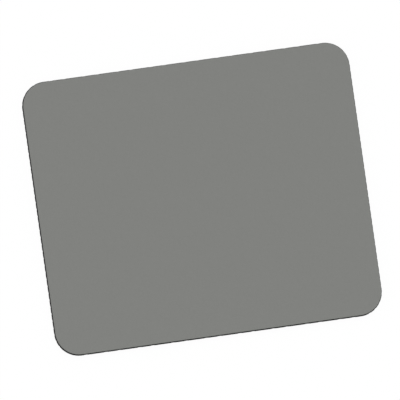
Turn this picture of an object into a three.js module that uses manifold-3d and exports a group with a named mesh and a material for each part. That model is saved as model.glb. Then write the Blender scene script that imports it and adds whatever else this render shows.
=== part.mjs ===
// Cloth-faced mouse pad. Three layers lie on each other, all cut to one rounded rectangle by the same die:
// a sponge-rubber base with a wave tread moulded in its underside, a hot-melt bonding film, and a knitted
// cloth face. Millimetres, +Z up. The origin is on the desk under the middle of the pad, +X points to the
// right of whoever sits at it and +Y away from them.

import * as THREE from "three";
import Module from "manifold-3d";

// Outline at the foot of the cut edge
const padWidth = 235;
const padDepth = 196.5;
const cornerRadius = 17.5;

// Layers, from the desk up, with the gap left between two bonded faces
const spongeThickness = 5.6;
const filmThickness = 0.13;
const clothThickness = 0.6;
const bondGap = 0.01;

// Cut edge: the wall leans in from its foot to the cloth, the sponge springs back into a hollow, and the die
// rolls the cloth's rim over
const wallDraft = 0.6;
const wallHollow = 0.3;
const clothRimRadius = 0.35;

// Wave tread: zigzag V grooves that run right across the underside and out through the cut edge
const groovePitch = 5;
const grooveWidth = 1.6;
const grooveDepth = 0.5;
const waveLength = 24;
const waveSwing = 3;
const cutterOverrun = 0.5;

// Facet counts: steps of each corner's arc, of the hollow wall and of the cloth's rim
const cornerSteps = 12;
const wallSteps = 6;
const rimSteps = 3;

const wasm = await Module();
wasm.setup();

// The pad's outline at one height, drawn in from the foot by an inset, anticlockwise seen from above
function outlineRing(inset, height) {
  const radius = cornerRadius - inset;
  const reachX = padWidth / 2 - cornerRadius;
  const reachY = padDepth / 2 - cornerRadius;
  const middles = [
    [reachX, reachY],
    [-reachX, reachY],
    [-reachX, -reachY],
    [reachX, -reachY],
  ];
  return middles.flatMap(([x, y], corner) => {
    const from = (corner * Math.PI) / 2;
    const arc = new THREE.EllipseCurve(x, y, radius, radius, from, from + Math.PI / 2);
    return arc.getPoints(cornerSteps).map((p) => new THREE.Vector3(p.x, p.y, height));
  });
}

// Closed solid lofted through convex rings of equal count, each anticlockwise seen from the end it leads to
function loft(rings) {
  const count = rings[0].length;
  const last = (rings.length - 1) * count;
  const triangles = [];
  for (let i = 1; i < count - 1; i++) {
    triangles.push(0, i + 1, i);
    triangles.push(last, last + i, last + i + 1);
  }
  for (let start = 0; start < last; start += count) {
    for (let i = 0; i < count; i++) {
      const here = start + i;
      const next = start + ((i + 1) % count);
      triangles.push(here, next, next + count, here, next + count, here + count);
    }
  }
  return new THREE.BufferGeometry().setFromPoints(rings.flat()).setIndex(triangles);
}

function toSolid(geometry) {
  const vertProperties = geometry.getAttribute("position").array;
  const triVerts = Uint32Array.from(geometry.index.array);
  return new wasm.Manifold(new wasm.Mesh({ numProp: 3, vertProperties, triVerts }));
}

function toGeometry(solid) {
  const { vertProperties, triVerts } = solid.getMesh();
  return new THREE.BufferGeometry()
    .setAttribute("position", new THREE.BufferAttribute(vertProperties, 3))
    .setIndex(new THREE.BufferAttribute(triVerts, 1));
}

// Flat-shaded mesh of one layer, seated at its height in the stack
function layer(name, geometry, seat, material) {
  const faceted = geometry.toNonIndexed();
  faceted.computeVertexNormals();
  const mesh = new THREE.Mesh(faceted, new THREE.MeshStandardMaterial(material));
  mesh.name = name;
  mesh.position.z = seat;
  return mesh;
}

// One groove of the tread: a V section swept along the zigzag, open side down and past the underside
function grooveCutter(middleY) {
  const halfWidth = ((grooveWidth / 2) * (grooveDepth + cutterOverrun)) / grooveDepth;
  const halfWave = waveLength / 2;
  const reach = Math.ceil(padWidth / waveLength) + 1;
  const sections = [];
  for (let turn = -reach; turn < reach; turn++) {
    const x = (turn + 0.5) * halfWave;
    const y = middleY + (turn % 2 === 0 ? waveSwing : -waveSwing);
    sections.push([
      new THREE.Vector3(x, y - halfWidth, -cutterOverrun),
      new THREE.Vector3(x, y + halfWidth, -cutterOverrun),
      new THREE.Vector3(x, y, grooveDepth),
    ]);
  }
  return toSolid(loft(sections));
}

// Sponge-rubber base: hollow die-cut wall all round, wave tread underneath, with a land at the origin
function spongeBase() {
  const rings = [];
  for (let step = 0; step <= wallSteps; step++) {
    const share = step / wallSteps;
    const inset = wallDraft * share + wallHollow * 4 * share * (1 - share);
    rings.push(outlineRing(inset, spongeThickness * share));
  }
  let base = toSolid(loft(rings));
  const grooveRows = Math.ceil((padDepth / 2 + waveSwing) / groovePitch);
  for (let row = -grooveRows; row < grooveRows; row++) {
    base = base.subtract(grooveCutter((row + 0.5) * groovePitch));
  }
  return toGeometry(base);
}

// Bonding film: a plain sheet, cut off flush with the top of the sponge
function adhesiveFilm() {
  return loft([outlineRing(wallDraft, 0), outlineRing(wallDraft, filmThickness)]);
}

// Cloth face: a sheet with its upper rim rolled over in a quarter round
function clothTop() {
  const rings = [outlineRing(wallDraft, 0)];
  for (let step = 0; step <= rimSteps; step++) {
    const angle = (step / rimSteps) * (Math.PI / 2);
    const inset = wallDraft + clothRimRadius * (1 - Math.cos(angle));
    const height = clothThickness - clothRimRadius * (1 - Math.sin(angle));
    rings.push(outlineRing(inset, height));
  }
  return loft(rings);
}

const filmSeat = spongeThickness + bondGap;
const clothSeat = filmSeat + filmThickness + bondGap;

const mousePad = new THREE.Group();
mousePad.name = "mouse_pad";
mousePad.add(
  layer("sponge_base", spongeBase(), 0, { color: 0x29292a, roughness: 0.9, metalness: 0 }),
  layer("adhesive_film", adhesiveFilm(), filmSeat, { color: 0x8e8b82, roughness: 0.5, metalness: 0 }),
  layer("cloth_top", clothTop(), clothSeat, { color: 0x81827f, roughness: 0.95, metalness: 0 }),
);

export default mousePad;
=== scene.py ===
import math

import bmesh
import bpy
from mathutils import Matrix, Vector, noise


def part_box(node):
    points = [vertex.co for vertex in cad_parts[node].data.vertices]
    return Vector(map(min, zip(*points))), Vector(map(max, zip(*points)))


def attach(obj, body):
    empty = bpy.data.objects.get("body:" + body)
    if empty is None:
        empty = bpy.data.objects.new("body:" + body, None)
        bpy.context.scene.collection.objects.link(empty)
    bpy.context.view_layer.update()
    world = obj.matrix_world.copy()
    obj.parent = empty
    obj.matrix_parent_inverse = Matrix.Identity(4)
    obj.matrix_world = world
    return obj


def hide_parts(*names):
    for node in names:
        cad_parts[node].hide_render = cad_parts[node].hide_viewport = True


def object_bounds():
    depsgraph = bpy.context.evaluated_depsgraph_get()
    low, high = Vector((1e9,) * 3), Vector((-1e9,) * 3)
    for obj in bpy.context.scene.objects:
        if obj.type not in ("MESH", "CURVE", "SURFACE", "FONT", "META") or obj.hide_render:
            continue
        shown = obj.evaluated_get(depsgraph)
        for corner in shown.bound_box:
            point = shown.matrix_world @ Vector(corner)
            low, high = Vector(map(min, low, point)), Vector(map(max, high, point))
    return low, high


# Cloth-faced mouse pad on a white table: sponge base, bond line, knitted face. Metres, +Z up.

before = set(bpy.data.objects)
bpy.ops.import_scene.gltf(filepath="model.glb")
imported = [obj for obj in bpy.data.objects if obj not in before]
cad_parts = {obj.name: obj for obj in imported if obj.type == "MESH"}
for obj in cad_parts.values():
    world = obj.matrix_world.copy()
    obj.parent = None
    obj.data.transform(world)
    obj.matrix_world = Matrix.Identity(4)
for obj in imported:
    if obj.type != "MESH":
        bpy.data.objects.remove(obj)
cadLow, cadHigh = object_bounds()
scene = bpy.context.scene
scene.view_settings.view_transform = "Standard"
mm = 0.001

# one die cuts all three layers, and its wall leans in from the foot up to the cloth
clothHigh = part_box("cloth_top")[1]
die = {
    "width": cadHigh.x - cadLow.x,      # at the foot
    "depth": cadHigh.y - cadLow.y,
    "draft": cadHigh.x - clothHigh.x,   # how far the wall leans in
    "cornerRadius": 17.5 * mm,
    "stepsAcross": 124,                 # points along each long side
    "stepsDeep": 104,                   # points along each short side
    "wallNormal": 0.5,                  # a face whose normal rises or falls less than this is wall
}
print("frame loaded, pad is %.1f x %.1f mm" % (die["width"] / mm, die["depth"] / mm))


# shared mesh helpers

def dieSide(halfRun, reach, count):
    # one side of the die with its outward direction along -Y: half an arc, the straight, half an arc
    radius = die["cornerRadius"]
    arc = radius * math.pi / 4
    straight = 2 * (halfRun - radius)
    side = []
    for i in range(count):
        walked = (2 * arc + straight) * i / count
        turn = (min(walked - arc, 0) + max(walked - arc - straight, 0)) / radius
        normal = Vector((math.sin(turn), -math.cos(turn), 0))
        middle = Vector((min(max(walked - arc, 0), straight) - straight / 2, radius - reach, 0))
        side.append((middle + normal * radius, normal))
    return side


def dieOutline():
    # (point, outward normal) pairs, anticlockwise from the middle of the near left corner
    halfWidth = die["width"] / 2
    halfDepth = die["depth"] / 2
    outline = []
    for quarter in range(4):
        turned = Matrix.Rotation(quarter * math.pi / 2, 3, "Z")
        if quarter % 2 == 0:
            side = dieSide(halfWidth, halfDepth, die["stepsAcross"])
        else:
            side = dieSide(halfDepth, halfWidth, die["stepsDeep"])
        outline += [(turned @ point, turned @ normal) for point, normal in side]
    return outline


def dieRing(height, inset):
    # one level of a layer's edge; inset is a length or a function of the point and the height
    ring = []
    for point, normal in dieOutline():
        pulledIn = inset(point, height) if callable(inset) else inset
        ring.append(point - normal * pulledIn + Vector((0, 0, height)))
    return ring


def quiltCap(ring, start, firstNew):
    # all-quad fill of a ring: the four sides are blended across the middle
    across = die["stepsAcross"]
    deep = die["stepsDeep"]
    count = len(ring)
    near = list(range(across + 1))
    right = [across + j for j in range(deep + 1)]
    far = [2 * across + deep - i for i in range(across + 1)]
    left = [(count - j) % count for j in range(deep + 1)]
    added = []
    index = {}
    for i in range(across + 1):
        for j in range(deep + 1):
            if j == 0:
                index[i, j] = start + near[i]
            elif j == deep:
                index[i, j] = start + far[i]
            elif i == 0:
                index[i, j] = start + left[j]
            elif i == across:
                index[i, j] = start + right[j]
            else:
                u = i / across
                v = j / deep
                sides = ring[near[i]] * (1 - v) + ring[far[i]] * v
                sides += ring[left[j]] * (1 - u) + ring[right[j]] * u
                corners = ring[near[0]] * (1 - u) * (1 - v) + ring[near[-1]] * u * (1 - v)
                corners += ring[far[0]] * (1 - u) * v + ring[far[-1]] * u * v
                index[i, j] = firstNew + len(added)
                added.append(sides - corners)
    faces = []
    for i in range(across):
        for j in range(deep):
            faces.append((index[i, j], index[i + 1, j], index[i + 1, j + 1], index[i, j + 1]))
    return added, faces


def layerMesh(name, rings, quilted):
    # closed layer through rings from the bottom up, with one flat face underneath and on top,
    # or with a quilted top
    count = len(rings[0])
    points = [point for ring in rings for point in ring]
    last = (len(rings) - 1) * count
    faces = []
    for start in range(0, last, count):
        for i in range(count):
            here = start + i
            beside = start + (i + 1) % count
            faces.append((here, beside, beside + count, here + count))
    faces.append(tuple(reversed(range(count))))
    if quilted:
        added, over = quiltCap(rings[-1], last, len(points))
        points += added
        faces += over
    else:
        faces.append(tuple(range(last, last + count)))
    mesh = bpy.data.meshes.new(name)
    mesh.from_pydata(points, [], faces)
    mesh.update()
    piece = bpy.data.objects.new(name, mesh)
    scene.collection.objects.link(piece)
    return piece


def dropSpareCorners(piece):
    # a corner where only two edges meet lies on a straight line between two flat faces; left there, it
    # can make both of them split into triangles that lie on each other
    whole = bmesh.new()
    whole.from_mesh(piece.data)
    spare = [corner for corner in whole.verts if len(corner.link_edges) == 2]
    bmesh.ops.dissolve_verts(whole, verts=spare)
    whole.to_mesh(piece.data)
    whole.free()


def softenEdges(piece, degrees):
    # smooth all over, with a crease where two faces meet at more than this angle
    mesh = piece.data
    mesh.polygons.foreach_set("use_smooth", [True] * len(mesh.polygons))
    mesh.set_sharp_from_angle(angle=math.radians(degrees))
    mesh.update()


# shared node helpers

def calc(tree, operation, first, second=None):
    # math node; each operand is a number or a socket
    maths = tree.nodes.new("ShaderNodeMath")
    maths.operation = operation
    for socket, value in zip(maths.inputs, (first, second)):
        if isinstance(value, bpy.types.NodeSocket):
            tree.links.new(value, socket)
        elif value is not None:
            socket.default_value = value
    return maths.outputs[0]


def span(tree, value, low, high):
    # value from 0 to 1 spread over a range
    return calc(tree, "ADD", calc(tree, "MULTIPLY", value, high - low), low)


def mixed(tree, *parts):
    # sum of (value, share) pairs
    total = 0.0
    for value, share in parts:
        total = calc(tree, "ADD", calc(tree, "MULTIPLY", value, share), total)
    return total


def joined(tree, x=0.0, y=0.0, z=0.0):
    # vector of three parts, each a number or a socket
    vector = tree.nodes.new("ShaderNodeCombineXYZ")
    for socket, value in zip(vector.inputs, (x, y, z)):
        if isinstance(value, bpy.types.NodeSocket):
            tree.links.new(value, socket)
        else:
            socket.default_value = value
    return vector.outputs[0]


def parted(tree, vector):
    # the three parts of a vector
    split = tree.nodes.new("ShaderNodeSeparateXYZ")
    tree.links.new(vector, split.inputs[0])
    return split.outputs["X"], split.outputs["Y"], split.outputs["Z"]


def newMaterial(name):
    material = bpy.data.materials.new(name)
    material.use_nodes = True
    tree = material.node_tree
    return material, tree, tree.nodes["Principled BSDF"]


def objectPlace(tree):
    return tree.nodes.new("ShaderNodeTexCoord").outputs["Object"]


def grain(tree, place, size, detail=2.0):
    # noise with features of about this size, as a value round a half
    texture = tree.nodes.new("ShaderNodeTexNoise")
    texture.inputs["Scale"].default_value = 1 / size
    texture.inputs["Detail"].default_value = detail
    tree.links.new(place, texture.inputs["Vector"])
    return texture.outputs["Fac"]


def surfaceFinish(tree, shader, settings, shade, dullness, height):
    # colour, roughness and relief of a piece, each from a value of about 0 to 1
    mix = tree.nodes.new("ShaderNodeMix")
    mix.data_type = "RGBA"
    mix.inputs["A"].default_value = (*settings["dark"], 1)
    mix.inputs["B"].default_value = (*settings["light"], 1)
    tree.links.new(shade, mix.inputs["Factor"])
    tree.links.new(mix.outputs["Result"], shader.inputs["Base Color"])
    tree.links.new(span(tree, dullness, *settings["roughness"]), shader.inputs["Roughness"])
    bump = tree.nodes.new("ShaderNodeBump")
    bump.inputs["Distance"].default_value = settings["reliefDepth"]
    bump.inputs["Strength"].default_value = settings["reliefStrength"]
    tree.links.new(height, bump.inputs["Height"])
    tree.links.new(bump.outputs["Normal"], shader.inputs["Normal"])


def newTree(name, inputs):
    # geometry node group with named inputs; returns the tree, its input node and its output node
    tree = bpy.data.node_groups.new(name, "GeometryNodeTree")
    tree.interface.new_socket("Geometry", in_out="INPUT", socket_type="NodeSocketGeometry")
    tree.interface.new_socket("Geometry", in_out="OUTPUT", socket_type="NodeSocketGeometry")
    for label, kind in inputs.items():
        tree.interface.new_socket(label, in_out="INPUT", socket_type="NodeSocket" + kind)
    return tree, tree.nodes.new("NodeGroupInput"), tree.nodes.new("NodeGroupOutput")


def runTree(piece, tree, values):
    # sets the inputs by identifier, keeps the evaluated result as the piece's own mesh
    modifier = piece.modifiers.new(tree.name, "NODES")
    modifier.node_group = tree
    for item in tree.interface.items_tree:
        if item.in_out == "INPUT" and item.name in values:
            modifier[item.identifier] = values[item.name]
    evaluated = piece.evaluated_get(bpy.context.evaluated_depsgraph_get())
    result = bpy.data.meshes.new_from_object(evaluated)
    piece.modifiers.clear()
    piece.data = result


# sponge base with open cells in its cut wall and a wave tread underneath

spongeSlab = {
    "wallHollow": 0.3 * mm,      # the cut wall springs back this far at mid-height
    "wobble": 0.05 * mm,         # unevenness of the cut
    "wobbleSize": 9 * mm,
    "levels": 6,                 # rings up the wall above its foot
    "sharpAngle": 42,            # degrees
    "skinDepth": 0.6 * mm,       # moulded skin under the cells
    "skinRagged": 0.25 * mm,     # unevenness of the skin's upper edge
    "skinFade": 0.15 * mm,       # height over which the skin gives way to pores
    "topBand": 0.05 * mm,        # cells keep this far from the bond line
    "bigCells": {"radius": 0.52 * mm, "spacing": 1.6 * mm, "facets": 2, "seed": 11},
    "smallCells": {"radius": 0.32 * mm, "spacing": 1.15 * mm, "facets": 1, "seed": 12},
    "cellsTried": 3e6,           # per square metre, before the spacing thins them out
    "smallestCell": 0.45,        # least share of its radius that a cell keeps each way
    "groovePitch": 5 * mm,
    "grooveRows": 42,            # enough to cover the underside
    "grooveWidth": 1.6 * mm,
    "grooveDepth": 0.5 * mm,
    "grooveSides": 16,           # facets round the rod that cuts a groove
    "waveLength": 24 * mm,
    "waveSwing": 3 * mm,
    "waveSharpness": 0.97,       # 1 is a plain zigzag, less rounds its turns
    "waves": 11,                 # enough to run out through both ends of the pad
    "stepsPerWave": 8,
    "gatherSteps": 1 / 16,       # share of a wave that its points move towards the turns, at most
    "weld": 0.001 * mm,          # slivers of a cut that are narrower than this close up
    "crumb": 200,                # loose bits of a cut with fewer points than this are dropped
    "poreSize": 0.32 * mm,       # fine cells between the modelled ones
    "poreReach": (0.2, 0.8),     # of the smallest and the largest pore, as shares of poreSize
    "skinGrain": 0.7 * mm,
    "blotch": 6 * mm,
    "blotchShare": 0.4,          # of the shade, the rest is pores and skin
    "dark": (0.014, 0.014, 0.0145),
    "light": (0.036, 0.036, 0.037),
    "roughness": (0.78, 0.96),
    "specular": 0.02,
    "reliefDepth": 0.1 * mm,
    "reliefStrength": 0.5,
}


def spongeRubber():
    # open pores on the cut wall, painted darker inside as shade and sunk in the relief, a closer grain
    # on the moulded skin underneath
    material, tree, shader = newMaterial("sponge_rubber")
    place = objectPlace(tree)
    cells = tree.nodes.new("ShaderNodeTexVoronoi")
    cells.inputs["Scale"].default_value = 1 / spongeSlab["poreSize"]
    tree.links.new(place, cells.inputs["Vector"])
    poreReach = span(tree, parted(tree, cells.outputs["Color"])[0], *spongeSlab["poreReach"])
    # painted shade: the colour darkens towards each pore's middle, where the relief sinks
    poreShadeAndDepth = calc(tree, "MINIMUM", calc(tree, "DIVIDE", cells.outputs["Distance"], poreReach), 1.0)
    skin = grain(tree, place, spongeSlab["skinGrain"], detail=4.0)
    ragged = calc(tree, "MULTIPLY", calc(tree, "SUBTRACT", skin, 0.5), spongeSlab["skinRagged"])
    height = calc(tree, "ADD", parted(tree, place)[2], ragged)
    overSkin = calc(tree, "MAXIMUM", calc(tree, "SUBTRACT", height, spongeSlab["skinDepth"]), 0.0)
    onWall = calc(tree, "MINIMUM", calc(tree, "DIVIDE", overSkin, spongeSlab["skinFade"]), 1.0)
    onSkin = calc(tree, "SUBTRACT", 1.0, onWall)
    surface = mixed(tree, (poreShadeAndDepth, onWall), (skin, onSkin))
    blotch = grain(tree, place, spongeSlab["blotch"])
    share = spongeSlab["blotchShare"]
    shade = mixed(tree, (surface, 1 - share), (blotch, share))
    surfaceFinish(tree, shader, spongeSlab, shade, blotch, surface)
    shader.inputs["Specular IOR Level"].default_value = spongeSlab["specular"]
    return material


def cutAway(tree, given, result, copies):
    # takes the copies out of the given geometry, welds slivers, drops crumbs and paints what is left
    real = tree.nodes.new("GeometryNodeRealizeInstances")
    tree.links.new(copies, real.inputs[0])
    cut = tree.nodes.new("GeometryNodeMeshBoolean")
    cut.operation = "DIFFERENCE"
    cut.solver = "MANIFOLD"
    tree.links.new(given.outputs["Geometry"], cut.inputs["Mesh 1"])
    tree.links.new(real.outputs[0], cut.inputs["Mesh 2"])
    weld = tree.nodes.new("GeometryNodeMergeByDistance")
    weld.inputs["Distance"].default_value = spongeSlab["weld"]
    tree.links.new(cut.outputs["Mesh"], weld.inputs["Geometry"])
    island = tree.nodes.new("GeometryNodeInputMeshIsland")
    points = tree.nodes.new("GeometryNodeAccumulateField")
    points.inputs["Value"].default_value = 1
    tree.links.new(island.outputs["Island Index"], points.inputs["Group ID"])
    small = calc(tree, "LESS_THAN", points.outputs["Total"], spongeSlab["crumb"])
    crumbs = tree.nodes.new("GeometryNodeDeleteGeometry")
    tree.links.new(weld.outputs["Geometry"], crumbs.inputs["Geometry"])
    tree.links.new(small, crumbs.inputs["Selection"])
    paint = tree.nodes.new("GeometryNodeSetMaterial")
    tree.links.new(crumbs.outputs["Geometry"], paint.inputs["Geometry"])
    tree.links.new(given.outputs["Material"], paint.inputs["Material"])
    tree.links.new(paint.outputs[0], result.inputs[0])


def cellTree():
    # round pits of mixed sizes scattered over the wall, cut out of the slab
    tree, given, result = newTree("open cells", {
        "Cell Radius": "Float", "Cell Spacing": "Float", "Lowest": "Float", "Highest": "Float",
        "Facets": "Int", "Seed": "Int", "Material": "Material"})
    make = tree.nodes.new
    link = tree.links.new
    # points on the upright faces, then only those clear of the skin and of the bond line
    level = calc(tree, "ABSOLUTE", parted(tree, make("GeometryNodeInputNormal").outputs[0])[2])
    scatter = make("GeometryNodeDistributePointsOnFaces")
    scatter.distribute_method = "POISSON"
    scatter.inputs["Density Max"].default_value = spongeSlab["cellsTried"]
    link(given.outputs["Geometry"], scatter.inputs["Mesh"])
    link(calc(tree, "LESS_THAN", level, die["wallNormal"]), scatter.inputs["Selection"])
    link(given.outputs["Cell Spacing"], scatter.inputs["Distance Min"])
    link(given.outputs["Seed"], scatter.inputs["Seed"])
    height = parted(tree, make("GeometryNodeInputPosition").outputs[0])[2]
    tooLow = calc(tree, "LESS_THAN", height, given.outputs["Lowest"])
    tooHigh = calc(tree, "GREATER_THAN", height, given.outputs["Highest"])
    clear = make("GeometryNodeDeleteGeometry")
    clear.domain = "POINT"
    link(scatter.outputs["Points"], clear.inputs["Geometry"])
    link(calc(tree, "MAXIMUM", tooLow, tooHigh), clear.inputs["Selection"])
    # a bubble on each point, squeezed and turned at random
    bubble = make("GeometryNodeMeshIcoSphere")
    link(given.outputs["Facets"], bubble.inputs["Subdivisions"])
    link(given.outputs["Cell Radius"], bubble.inputs["Radius"])
    size = make("FunctionNodeRandomValue")
    size.data_type = "FLOAT_VECTOR"
    size.inputs["Min"].default_value = [spongeSlab["smallestCell"]] * 3
    size.inputs["Max"].default_value = (1.0, 1.0, 1.0)
    link(given.outputs["Seed"], size.inputs["Seed"])
    turn = make("FunctionNodeRandomValue")
    turn.data_type = "FLOAT_VECTOR"
    turn.inputs["Max"].default_value = (math.tau, math.tau, math.tau)
    link(given.outputs["Seed"], turn.inputs["Seed"])
    spread = make("GeometryNodeInstanceOnPoints")
    link(clear.outputs["Geometry"], spread.inputs["Points"])
    link(bubble.outputs["Mesh"], spread.inputs["Instance"])
    link(size.outputs["Value"], spread.inputs["Scale"])
    link(turn.outputs["Value"], spread.inputs["Rotation"])
    cutAway(tree, given, result, spread.outputs[0])
    return tree


def treadTree():
    # round-bottomed grooves: one rod swept along a softened zigzag, repeated across the pad and cut out
    tree, given, result = newTree("wave tread", {
        "Run": "Float", "Pitch": "Float", "Rows": "Int", "Steps": "Int", "Groove Width": "Float",
        "Groove Depth": "Float", "Wave Length": "Float", "Swing": "Float", "Sharpness": "Float",
        "Material": "Material"})
    make = tree.nodes.new
    link = tree.links.new
    halfRun = calc(tree, "MULTIPLY", given.outputs["Run"], 0.5)
    line = make("GeometryNodeCurvePrimitiveLine")
    link(joined(tree, x=calc(tree, "MULTIPLY", halfRun, -1.0)), line.inputs["Start"])
    link(joined(tree, x=halfRun), line.inputs["End"])
    dense = make("GeometryNodeResampleCurve")
    link(line.outputs[0], dense.inputs["Curve"])
    link(given.outputs["Steps"], dense.inputs["Count"])
    along = parted(tree, make("GeometryNodeInputPosition").outputs[0])[0]
    even = calc(tree, "DIVIDE", along, given.outputs["Wave Length"])
    # the points are gathered at the turns
    twice = calc(tree, "SINE", calc(tree, "MULTIPLY", even, 2 * math.tau))
    gathered = calc(tree, "MULTIPLY", twice, spongeSlab["gatherSteps"])
    turns = calc(tree, "ADD", even, gathered)
    swell = calc(tree, "SINE", calc(tree, "MULTIPLY", turns, math.tau))
    bent = calc(tree, "ARCSINE", calc(tree, "MULTIPLY", swell, given.outputs["Sharpness"]))
    crest = calc(tree, "ARCSINE", given.outputs["Sharpness"])
    sideways = calc(tree, "MULTIPLY", calc(tree, "DIVIDE", bent, crest), given.outputs["Swing"])
    onward = calc(tree, "MULTIPLY", gathered, given.outputs["Wave Length"])
    wavy = make("GeometryNodeSetPosition")
    link(dense.outputs[0], wavy.inputs["Geometry"])
    link(joined(tree, x=onward, y=sideways), wavy.inputs["Offset"])
    # rod whose chord at the underside is the groove's width
    halfWidth = calc(tree, "MULTIPLY", given.outputs["Groove Width"], 0.5)
    depth = given.outputs["Groove Depth"]
    restOfRod = calc(tree, "DIVIDE", calc(tree, "MULTIPLY", halfWidth, halfWidth), depth)
    rodRadius = calc(tree, "MULTIPLY", calc(tree, "ADD", restOfRod, depth), 0.5)
    section = make("GeometryNodeCurvePrimitiveCircle")
    section.inputs["Resolution"].default_value = spongeSlab["grooveSides"]
    link(rodRadius, section.inputs["Radius"])
    rod = make("GeometryNodeCurveToMesh")
    rod.inputs["Fill Caps"].default_value = True
    link(wavy.outputs[0], rod.inputs["Curve"])
    link(section.outputs[0], rod.inputs["Profile Curve"])
    gaps = calc(tree, "SUBTRACT", given.outputs["Rows"], 1.0)
    firstRow = calc(tree, "MULTIPLY", calc(tree, "MULTIPLY", gaps, given.outputs["Pitch"]), -0.5)
    rows = make("GeometryNodeMeshLine")
    link(given.outputs["Rows"], rows.inputs["Count"])
    rodHeight = calc(tree, "SUBTRACT", depth, rodRadius)
    link(joined(tree, y=firstRow, z=rodHeight), rows.inputs["Start Location"])
    link(joined(tree, y=given.outputs["Pitch"]), rows.inputs["Offset"])
    spread = make("GeometryNodeInstanceOnPoints")
    link(rows.outputs[0], spread.inputs["Points"])
    link(rod.outputs[0], spread.inputs["Instance"])
    cutAway(tree, given, result, spread.outputs[0])
    return tree


def buildSponge():
    low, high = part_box("sponge_base")
    thick = high.z - low.z

    def cutWall(point, height):
        share = (height - low.z) / thick
        uneven = noise.noise(Vector((point.x, point.y, height)) / spongeSlab["wobbleSize"])
        hollow = spongeSlab["wallHollow"] * 4 * share * (1 - share)
        return die["draft"] * share + hollow + spongeSlab["wobble"] * uneven * math.sin(share * math.pi)

    levels = spongeSlab["levels"]
    rings = [dieRing(low.z + thick * k / levels, cutWall) for k in range(levels + 1)]
    slab = layerMesh("sponge_slab", rings, False)
    rubber = spongeRubber()
    pits = cellTree()
    for cells in (spongeSlab["bigCells"], spongeSlab["smallCells"]):
        runTree(slab, pits, {
            "Cell Radius": cells["radius"],
            "Cell Spacing": cells["spacing"],
            "Lowest": low.z + spongeSlab["skinDepth"] + cells["radius"],
            "Highest": high.z - spongeSlab["topBand"] - cells["radius"],
            "Facets": cells["facets"],
            "Seed": cells["seed"],
            "Material": rubber,
        })
    runTree(slab, treadTree(), {
        "Run": spongeSlab["waves"] * spongeSlab["waveLength"],
        "Pitch": spongeSlab["groovePitch"],
        "Rows": spongeSlab["grooveRows"],
        "Groove Width": spongeSlab["grooveWidth"],
        "Groove Depth": spongeSlab["grooveDepth"],
        "Wave Length": spongeSlab["waveLength"],
        "Swing": spongeSlab["waveSwing"],
        "Sharpness": spongeSlab["waveSharpness"],
        "Steps": spongeSlab["waves"] * spongeSlab["stepsPerWave"] + 1,
        "Material": rubber,
    })
    dropSpareCorners(slab)
    softenEdges(slab, spongeSlab["sharpAngle"])
    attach(slab, "root")
    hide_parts("sponge_base")
    print("sponge slab done,", len(slab.data.polygons), "faces")


# bond line: the film's edge, squeezed a little unevenly

bondLine = {
    "setBack": 0.06 * mm,        # from the edge of the cloth
    "squeeze": 0.08 * mm,        # unevenness of the film's edge
    "squeezeSize": 4 * mm,
    "sharpAngle": 35,            # degrees
    "streak": 1.2 * mm,
    "dark": (0.06, 0.058, 0.053),
    "light": (0.12, 0.117, 0.108),
    "roughness": (0.35, 0.6),
    "reliefDepth": 0.03 * mm,
    "reliefStrength": 0.4,
}


def bondFilm():
    material, tree, shader = newMaterial("bond_film")
    streak = grain(tree, objectPlace(tree), bondLine["streak"], detail=3.0)
    surfaceFinish(tree, shader, bondLine, streak, streak, streak)
    return material


def buildBond():
    low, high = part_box("adhesive_film")

    def squeezed(point, height):
        # the same at both heights, so that the film's edge stands upright
        uneven = bondLine["squeeze"] * noise.noise(point / bondLine["squeezeSize"])
        return die["draft"] + bondLine["setBack"] - uneven

    film = layerMesh("bond_line", [dieRing(low.z, squeezed), dieRing(high.z, squeezed)], False)
    film.data.materials.append(bondFilm())
    softenEdges(film, bondLine["sharpAngle"])
    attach(film, "root")
    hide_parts("adhesive_film")
    print("bond line done")
    return film


# knitted face with a rolled rim, lying almost flat on the bond

clothFace = {
    "rimRadius": 0.35 * mm,
    "rimSteps": 6,
    "flatBorder": 0.6 * mm,  # from the rolled rim to the first ring on the flat
    "ripple": 0.02 * mm,     # unevenness of the flat
    "rippleSize": 22 * mm,
    "topSlack": 0.001 * mm,  # points this near the top lie on the flat and ripple with it
    "sharpAngle": 50,        # degrees
    "knitMap": "OFBake",     # UV map of the flat cloth
    "tile": 24 * mm,         # the map and the knit repeat after this much cloth
    "wales": 50,             # columns of stitches in a tile
    "courses": 60,           # rows of stitches in a tile
    "slant": 0.9,            # rise of a stitch's legs towards the column's middle, in rows per column
    "legFullness": 0.7,      # 1 is a plain sine across a leg, less makes it fuller
    "legDip": 0.35,          # height left where two legs lie side by side
    "mottles": 13,           # soft patches across a tile
    "plies": 4,              # strands across the yarn of a leg
    "plyTwist": 3,           # how many strands a leg's length passes
    # stitch and ply paint the knit's relief as shade, lighter on raised legs and strands and darker in
    # the dips; mottle and own are the yarn's own tone
    "toneShares": {"stitchShadeAndHeight": 0.45, "mottle": 0.24, "own": 0.12, "strandShadeAndHeight": 0.12},
    "dark": (0.185, 0.188, 0.178),
    "light": (0.251, 0.255, 0.243),
    "roughness": (0.82, 0.98),
    "specular": 0.15,
    "sheen": 0.12,
    "sheenRoughness": 0.45,
    "reliefDepth": 0.08 * mm,
    "reliefStrength": 0.5,
    "plyRelief": 0.1,        # height of a strand against that of a stitch
}


def seamlessGrain(tree, across, along, count, detail=2.0):
    # noise over a tile that is wrapped into a ring both ways, so that it repeats without a seam
    texture = tree.nodes.new("ShaderNodeTexNoise")
    texture.noise_dimensions = "4D"
    texture.inputs["Scale"].default_value = count / math.tau
    texture.inputs["Detail"].default_value = detail
    first = calc(tree, "MULTIPLY", across, math.tau)
    second = calc(tree, "MULTIPLY", along, math.tau)
    ring = [calc(tree, "COSINE", first), calc(tree, "SINE", first), calc(tree, "COSINE", second)]
    tree.links.new(joined(tree, *ring), texture.inputs["Vector"])
    tree.links.new(calc(tree, "SINE", second), texture.inputs["W"])
    return texture.outputs["Fac"]


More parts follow.
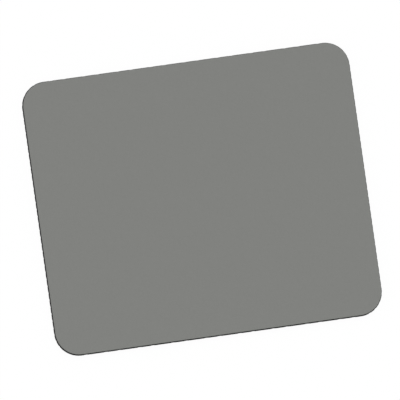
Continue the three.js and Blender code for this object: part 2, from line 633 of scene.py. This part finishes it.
def knitCloth():
    material, tree, shader = newMaterial("knit_cloth")
    laid = tree.nodes.new("ShaderNodeUVMap")
    laid.uv_map = clothFace["knitMap"]
    across, along = parted(tree, laid.outputs["UV"])[:2]
    column = calc(tree, "MULTIPLY", across, clothFace["wales"])
    row = calc(tree, "MULTIPLY", along, clothFace["courses"])
    # each stitch is a V of two legs; its height also gives painted shade, darker where the legs dip and
    # part
    fromMiddle = calc(tree, "ABSOLUTE", calc(tree, "SUBTRACT", calc(tree, "FRACT", column), 0.5))
    risen = calc(tree, "ADD", row, calc(tree, "MULTIPLY", fromMiddle, clothFace["slant"]))
    leg = calc(tree, "SINE", calc(tree, "MULTIPLY", calc(tree, "FRACT", risen), math.pi))
    full = calc(tree, "POWER", leg, clothFace["legFullness"])
    twin = calc(tree, "SINE", calc(tree, "MULTIPLY", fromMiddle, math.tau))
    stitchShadeAndHeight = calc(tree, "MULTIPLY", full, span(tree, twin, clothFace["legDip"], 1.0))
    # no two stitches are of quite the same tone
    own = tree.nodes.new("ShaderNodeTexWhiteNoise")
    own.noise_dimensions = "2D"
    ownColumn = calc(tree, "FLOORED_MODULO", calc(tree, "FLOOR", column), clothFace["wales"])
    ownRow = calc(tree, "FLOORED_MODULO", calc(tree, "FLOOR", risen), clothFace["courses"])
    tree.links.new(joined(tree, ownColumn, ownRow), own.inputs["Vector"])
    mottle = seamlessGrain(tree, across, along, clothFace["mottles"])
    # the yarn is twisted from a few strands; their height also gives painted shade, darker between the
    # strands
    laidAlong = calc(tree, "MULTIPLY", fromMiddle, 2 * clothFace["plyTwist"])
    strands = calc(tree, "ADD", calc(tree, "MULTIPLY", risen, clothFace["plies"]), laidAlong)
    twist = calc(tree, "SINE", calc(tree, "MULTIPLY", strands, math.tau))
    strandShadeAndHeight = calc(tree, "ADD", calc(tree, "MULTIPLY", twist, 0.5), 0.5)
    # painted shade from the stitch and strand heights, mixed with the yarn's own random tones
    paintedShadeAndTones = {"stitchShadeAndHeight": stitchShadeAndHeight, "mottle": mottle, "own": own.outputs["Value"], "strandShadeAndHeight": strandShadeAndHeight}
    shade = mixed(tree, *[(paintedShadeAndTones[name], share) for name, share in clothFace["toneShares"].items()])
    height = calc(tree, "ADD", stitchShadeAndHeight, calc(tree, "MULTIPLY", strandShadeAndHeight, clothFace["plyRelief"]))
    surfaceFinish(tree, shader, clothFace, shade, mottle, height)
    shader.inputs["Specular IOR Level"].default_value = clothFace["specular"]
    shader.inputs["Sheen Weight"].default_value = clothFace["sheen"]
    shader.inputs["Sheen Roughness"].default_value = clothFace["sheenRoughness"]
    return material


def layKnitMap(cloth, flatRim):
    # the cloth's own flat layout in tiles, one of them centred on the pad; the hidden back lies whole
    # tiles away from the face
    tile = clothFace["tile"]
    tilesAway = 2 * math.ceil(die["width"] / tile)
    mesh = cloth.data
    knitMap = mesh.uv_layers.new(name=clothFace["knitMap"])
    for face in mesh.polygons:
        aside = tilesAway if face.normal.z < -die["wallNormal"] else 0
        for corner in face.loop_indices:
            index = mesh.loops[corner].vertex_index
            spot = flatRim[index] if index < len(flatRim) else mesh.vertices[index].co
            knitMap.data[corner].uv = (spot.x / tile + 0.5 + aside, spot.y / tile + 0.5)


def buildCloth(film):
    low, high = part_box("cloth_top")
    radius = clothFace["rimRadius"]
    steps = clothFace["rimSteps"]
    crown = die["draft"] + radius
    # height, inset and flat inset of each ring: the flat one is before the die rolled the rim over
    rimEdge = crown - radius * math.pi / 2
    levels = [(low.z, die["draft"], rimEdge - (high.z - radius - low.z))]
    for k in range(steps + 1):
        turn = math.pi / 2 * k / steps
        height = high.z - radius * (1 - math.sin(turn))
        levels.append((height, crown - radius * math.cos(turn), rimEdge + radius * turn))
    border = crown + clothFace["flatBorder"]
    levels.append((high.z, border, border))
    rings = [dieRing(height, inset) for height, inset, flatInset in levels]
    flatRim = [point for height, inset, flatInset in levels for point in dieRing(0, flatInset)]
    cloth = layerMesh("cloth_face", rings, True)
    layKnitMap(cloth, flatRim)
    for vertex in cloth.data.vertices:
        if vertex.co.z > high.z - clothFace["topSlack"]:
            vertex.co.z += clothFace["ripple"] * noise.noise(vertex.co / clothFace["rippleSize"])
    cloth.data.materials.append(knitCloth())
    softenEdges(cloth, clothFace["sharpAngle"])
    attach(cloth, "root")
    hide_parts("cloth_top")
    print("cloth face done,", len(cloth.data.polygons), "faces")


# table, light and camera

studio = {
    "tableSize": 12.0,
    "tableWhite": 0.04,          # share of the table's white that takes shadow, the rest glows
    # glowEdge is where the painted shadow under the pad begins, inside its foot
    "glowEdge": 0.2 * mm,        # the glow stops this far inside the pad's foot
    "skyLight": 0.72,
    "sunLight": 1.0,
    "sunSoftness": 30,           # degrees
    "sunFrom": (0.28, 0.40, 1.0),
}

photo = {
    "framePixels": 400,
    "pixelsPerMetre": 1408.1,
    "padMiddle": (201.96, 199.13),   # pixel of the pad's middle
    "roll": 8.09,                    # degrees anticlockwise
    "tilt": 2.75,                    # degrees off square, towards the left and towards the user
    "lens": 1600,                    # long, because the photo's edges are parallel
    "sensor": 36,
}


def seenDirectly(tree):
    # 1 for rays from the camera, mirrors and glass, 0 for light that bounces off matt surfaces
    path = tree.nodes.new("ShaderNodeLightPath")
    direct = calc(tree, "MAXIMUM", path.outputs["Is Camera Ray"], path.outputs["Is Glossy Ray"])
    return calc(tree, "MAXIMUM", direct, path.outputs["Is Transmission Ray"])


def outsidePaintedShadow(tree):
    # 0 under the pad, where the table's glow is taken away as a painted shadow so that the tread's
    # notches stay dark, and 1 around it
    radius = die["cornerRadius"]
    x, y = parted(tree, objectPlace(tree))[:2]
    squares = []
    for place, reach in ((x, die["width"] / 2 - radius), (y, die["depth"] / 2 - radius)):
        past = calc(tree, "MAXIMUM", calc(tree, "SUBTRACT", calc(tree, "ABSOLUTE", place), reach), 0.0)
        squares.append(calc(tree, "MULTIPLY", past, past))
    distance = calc(tree, "SQRT", calc(tree, "ADD", *squares))
    return calc(tree, "GREATER_THAN", distance, radius - studio["glowEdge"])


def buildTable():
    half = studio["tableSize"] / 2
    mesh = bpy.data.meshes.new("table")
    corners = [(-half, -half, 0), (half, -half, 0), (half, half, 0), (-half, half, 0)]
    mesh.from_pydata(corners, [], [(0, 1, 2, 3)])
    table = bpy.data.objects.new("table", mesh)
    scene.collection.objects.link(table)
    material = bpy.data.materials.new("white_table")
    material.use_nodes = True
    tree = material.node_tree
    tree.nodes.clear()
    matt = tree.nodes.new("ShaderNodeBsdfDiffuse")
    white = studio["tableWhite"]
    matt.inputs["Color"].default_value = (white, white, white, 1)
    glow = tree.nodes.new("ShaderNodeEmission")
    # the glow is taken away under the pad, which leaves a painted shadow there
    glowOutsidePaintedShadow = calc(tree, "MULTIPLY", seenDirectly(tree), outsidePaintedShadow(tree))
    tree.links.new(calc(tree, "MULTIPLY", glowOutsidePaintedShadow, 1 - white), glow.inputs["Strength"])
    both = tree.nodes.new("ShaderNodeAddShader")
    tree.links.new(matt.outputs[0], both.inputs[0])
    tree.links.new(glow.outputs[0], both.inputs[1])
    surface = tree.nodes.new("ShaderNodeOutputMaterial")
    tree.links.new(both.outputs[0], surface.inputs["Surface"])
    mesh.materials.append(material)


def buildLight():
    world = bpy.data.worlds.new("studio")
    scene.world = world
    world.use_nodes = True
    tree = world.node_tree
    sky = tree.nodes["Background"]
    sky.inputs["Color"].default_value = (1, 1, 1, 1)
    # plain white where it is seen, the sky's own strength where it lights the pad
    strength = span(tree, seenDirectly(tree), studio["skyLight"], 1.0)
    tree.links.new(strength, sky.inputs["Strength"])
    lamp = bpy.data.lights.new("softSun", "SUN")
    lamp.energy = studio["sunLight"]
    lamp.angle = math.radians(studio["sunSoftness"])
    sun = bpy.data.objects.new("softSun", lamp)
    sun.rotation_euler = Vector(studio["sunFrom"]).to_track_quat("Z", "Y").to_euler()
    scene.collection.objects.link(sun)


def buildCamera():
    lean = math.tan(math.radians(photo["tilt"]))
    roll = math.radians(photo["roll"])
    back = Vector((-lean, -lean, 1)).normalized()
    up = Vector((math.sin(roll), math.cos(roll), 0))
    up = (up - back * up.dot(back)).normalized()
    right = up.cross(back)
    focalPixels = photo["lens"] / photo["sensor"] * photo["framePixels"]
    away = focalPixels / photo["pixelsPerMetre"]
    middle = photo["framePixels"] / 2
    offRight = (photo["padMiddle"][0] - middle) / photo["pixelsPerMetre"]
    offUp = (middle - photo["padMiddle"][1]) / photo["pixelsPerMetre"]
    data = bpy.data.cameras.new("photoCamera")
    data.lens = photo["lens"]
    data.sensor_width = photo["sensor"]
    data.clip_end = 2 * away
    camera = bpy.data.objects.new("photoCamera", data)
    turn = Matrix((right, up, back)).transposed().to_4x4()
    camera.matrix_world = Matrix.Translation(back * away - right * offRight - up * offUp) @ turn
    scene.collection.objects.link(camera)
    scene.camera = camera


buildSponge()
buildCloth(buildBond())
buildTable()
buildLight()
buildCamera()
print("table, light and camera done")
